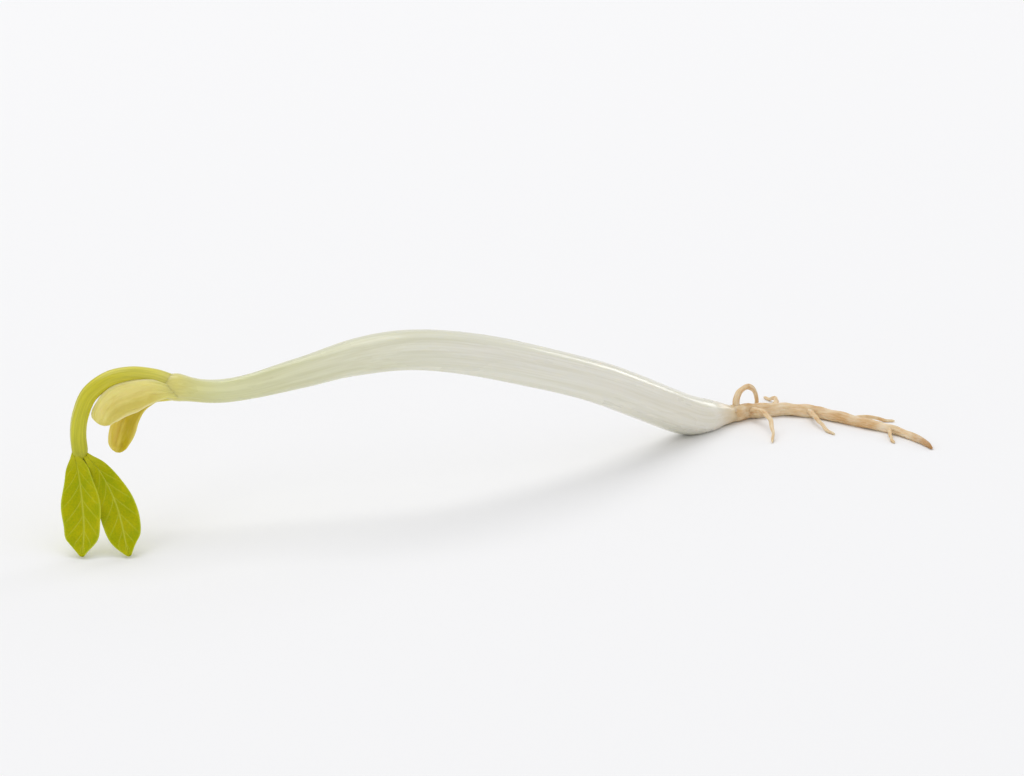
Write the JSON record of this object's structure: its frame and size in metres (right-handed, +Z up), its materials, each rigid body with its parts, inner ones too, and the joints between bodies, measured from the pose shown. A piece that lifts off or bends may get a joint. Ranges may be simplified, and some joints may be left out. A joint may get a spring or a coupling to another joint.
{
  "type": "mung bean sprout",
  "caption": "Fresh mung bean sprout lying down: a thick white stem ending in a thin branching root, with a hooked green shoot, seed leaves and a leaf pair.",
  "frame": {"origin": "on the surface that the sprout lies on, under the middle of its bounding box", "axes": "+X from the leaf pair towards the root tip, along the sprout's length; +Y from the leaves towards the root end's side; +Z up from the surface"},
  "size_m": [0.062, 0.0382, 0.0131],
  "materials": {
    "stem_flesh": "wet gloss",
    "root": "dull, wrinkled",
    "green_shoot": "wet gloss",
    "pale_seed_leaf": "waxy",
    "olive_seed_leaf": "waxy",
    "leaf_blade": "satin"
  },
  "bodies": {
    "root": {"hypocotyl": "stem_flesh", "taproot": "root", "lateral_root_1": "root", "lateral_root_2": "root", "lateral_root_3": "root", "lateral_root_4": "root", "lateral_root_5": "root", "lateral_root_6": "root", "lateral_root_7": "root", "epicotyl": "green_shoot", "cotyledon_front": "pale_seed_leaf", "cotyledon_back": "olive_seed_leaf", "leaf_left": "leaf_blade", "leaf_right": "leaf_blade", "terminal_bud": "green_shoot"}
  },
  "joints": []
}
